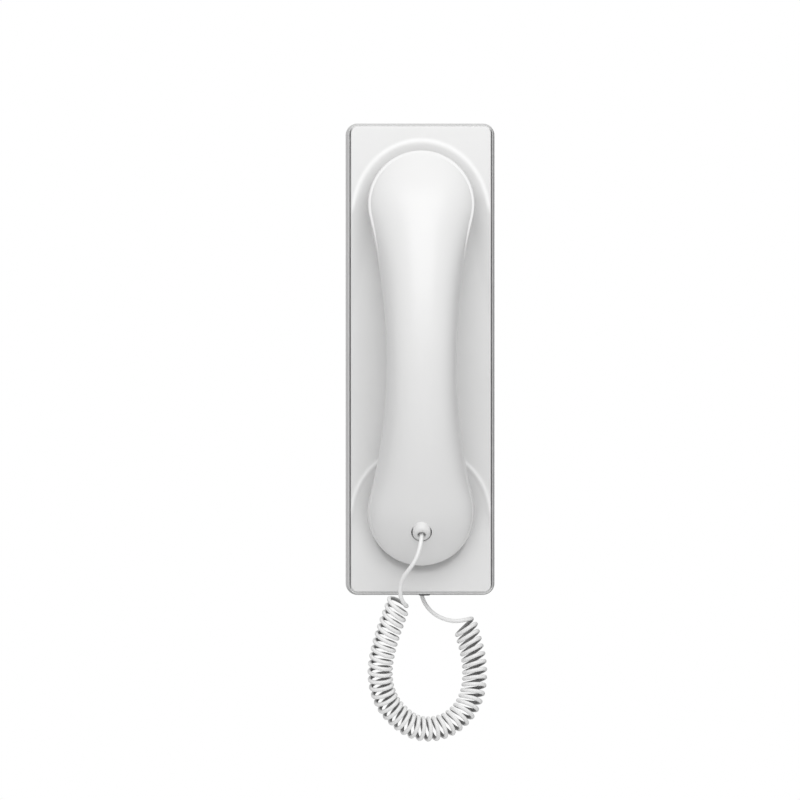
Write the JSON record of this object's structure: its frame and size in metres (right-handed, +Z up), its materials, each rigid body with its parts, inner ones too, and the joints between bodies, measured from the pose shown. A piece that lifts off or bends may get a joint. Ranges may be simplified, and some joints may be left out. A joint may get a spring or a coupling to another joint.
{
  "type": "audio intercom handset",
  "caption": "White wall-mounted audio intercom station: slim upright base with a moulded cradle, a lift-off handset and a curly cord hanging in a loop below.",
  "frame": {"origin": "on the wall plane, at the middle of the base's back", "axes": "+X to the right seen from the front, +Y into the wall, +Z up"},
  "size_m": [0.0684, 0.0616, 0.2881],
  "materials": {
    "shell_white": "satin white",
    "cover_white": "fine texture, white",
    "gland_white": "satin white",
    "plunger_white": "satin white",
    "button_grey": "satin light grey",
    "cord_white": "smooth white PVC",
    "wire_ivory": "smooth PVC sleeve",
    "bush_rubber": "matte dark grey",
    "black_rubber": "matte black",
    "screw_steel": "zinc plated",
    "spring_steel": "drawn wire",
    "board_green": "solder resist",
    "terminal_green": "moulded",
    "black_plastic": "moulded",
    "capacitor_sleeve": "shrink sleeve",
    "header_ivory": "moulded",
    "microphone_can": "drawn can"
  },
  "bodies": {
    "base": {"rear_cover": "cover_white", "base_shell": "shell_white", "locking_screw": "screw_steel", "main_board": "board_green", "board_screws": "screw_steel", "terminal_block": "terminal_green", "terminal_screws": "screw_steel", "control_chip": "black_plastic", "capacitors": "capacitor_sleeve", "cord_header": "header_ivory", "hook_switch": "black_plastic", "release_switch": "black_plastic", "ringer": "black_plastic", "ringer_gasket": "black_rubber", "base_bush": "bush_rubber", "base_wires": "wire_ivory", "plunger_spring": "spring_steel", "curly_cord": "cord_white", "base_lead": "cord_white"},
    "hook": {"hook_plunger": "plunger_white"},
    "button": {"release_button": "button_grey"},
    "handset": {"handset_outer_shell": "shell_white", "handset_inner_shell": "shell_white", "handset_screws": "screw_steel", "earpiece_capsule": "black_plastic", "earpiece_gasket": "black_rubber", "microphone": "microphone_can", "microphone_boot": "black_rubber", "handset_wires": "wire_ivory", "cord_gland": "gland_white", "handset_lead": "cord_white"}
  },
  "joints": [
    {"name": "handset_lift", "type": "slide", "parent": "base", "child": "handset", "axis": [0, -0.94, 0.3412], "range_m": [0, 0.1], "deforming": ["curly_cord"]},
    {"name": "hook_slide", "type": "slide", "parent": "base", "child": "hook", "axis": [0, -1, 0], "range_m": [0, 0.004], "deforming": ["plunger_spring"]},
    {"name": "release_press", "type": "slide", "parent": "base", "child": "button", "axis": [0, 1, 0], "range_m": [0, 0.0015], "stiffness_N_per_m": 600, "springref_m": -0.0005}
  ],
  "couplings": [
    {"joint": "hook_slide", "follows": "handset_lift", "ratio": 0.04}
  ]
}
